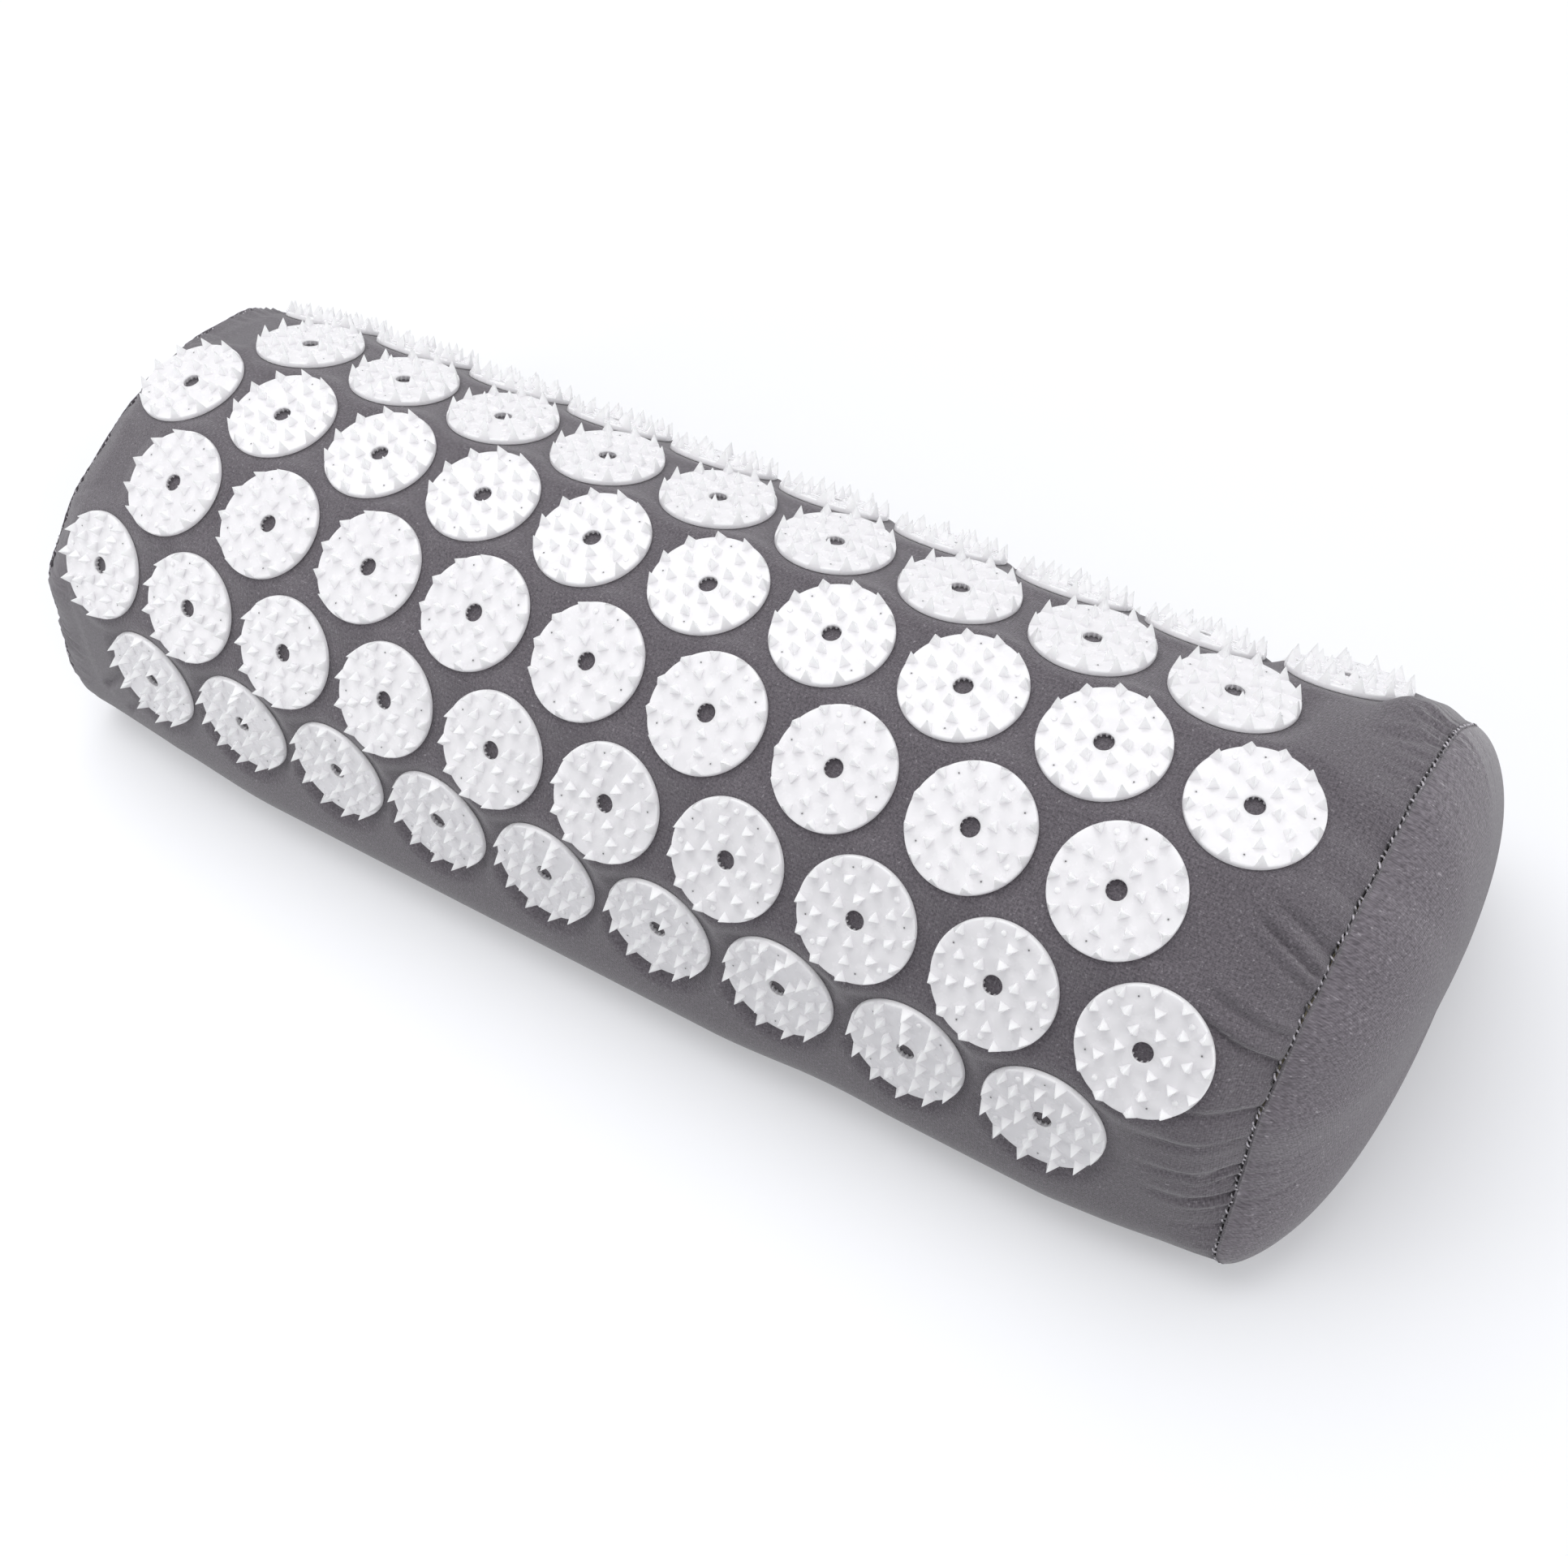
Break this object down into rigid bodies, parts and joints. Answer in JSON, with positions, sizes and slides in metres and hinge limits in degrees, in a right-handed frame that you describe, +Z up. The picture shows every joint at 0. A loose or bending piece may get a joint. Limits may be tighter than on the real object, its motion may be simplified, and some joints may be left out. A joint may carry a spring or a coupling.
{
  "type": "acupressure pillow",
  "caption": "Half-round neck bolster with a foam core, a zipped grey cloth cover and staggered rows of round white plastic discs with spikes.",
  "frame": {"origin": "middle of the flat base, on the surface that the pillow lies on", "axes": "+Z up, X along the pillow, -Y towards the front that the picture shows"},
  "size_m": [0.3902, 0.1403, 0.0931],
  "materials": {
    "cloth": "matt grey plain-weave cotton",
    "plastic": "smooth glossy white moulded plastic",
    "foam": "soft open-cell cream foam",
    "tape": "woven zip tape with a nylon coil",
    "zinc": "cast zinc, dull nickel finish"
  },
  "bodies": {
    "pillow": {"disc_row2_01": "plastic", "disc_row2_02": "plastic", "disc_row2_03": "plastic", "disc_row2_04": "plastic", "disc_row2_05": "plastic", "disc_row2_06": "plastic", "disc_row2_07": "plastic", "disc_row2_08": "plastic", "disc_row2_09": "plastic", "disc_row2_10": "plastic", "disc_row3_01": "plastic", "disc_row3_02": "plastic", "disc_row3_03": "plastic", "disc_row3_04": "plastic", "disc_row3_05": "plastic", "disc_row3_06": "plastic", "disc_row3_07": "plastic", "disc_row3_08": "plastic", "disc_row3_09": "plastic", "disc_row4_01": "plastic", "disc_row4_02": "plastic", "disc_row4_03": "plastic", "disc_row4_04": "plastic", "disc_row4_05": "plastic", "disc_row4_06": "plastic", "disc_row4_07": "plastic", "disc_row4_08": "plastic", "disc_row4_09": "plastic", "disc_row4_10": "plastic", "disc_row5_01": "plastic", "disc_row5_02": "plastic", "disc_row5_03": "plastic", "disc_row5_04": "plastic", "disc_row5_05": "plastic", "disc_row5_06": "plastic", "disc_row5_07": "plastic", "disc_row5_08": "plastic", "disc_row5_09": "plastic", "disc_row6_01": "plastic", "disc_row6_02": "plastic", "disc_row6_03": "plastic", "disc_row6_04": "plastic", "disc_row6_05": "plastic", "disc_row6_06": "plastic", "disc_row6_07": "plastic", "disc_row6_08": "plastic", "disc_row6_09": "plastic", "disc_row6_10": "plastic", "foam_core": "foam", "cover_top_panel": "cloth", "end_panel_left": "cloth", "end_panel_right": "cloth", "bottom_panel_front": "cloth", "bottom_panel_back": "cloth", "zipper_tape_front": "tape", "zipper_tape_back": "tape", "zipper_stop_start": "zinc", "zipper_stop_end": "zinc"},
    "slider": {"zipper_slider": "zinc"},
    "pull_tab": {"zipper_pull_tab": "zinc"}
  },
  "joints": [
    {"name": "zip_slide", "type": "slide", "parent": "pillow", "child": "slider", "axis": [1, 0, 0], "range_m": [-0.252, 0]},
    {"name": "pull_swing", "type": "hinge", "parent": "slider", "child": "pull_tab", "pos_m": [0.1268, 0, 0.004], "axis": [0, -1, 0], "range_deg": [0, 170]}
  ]
}
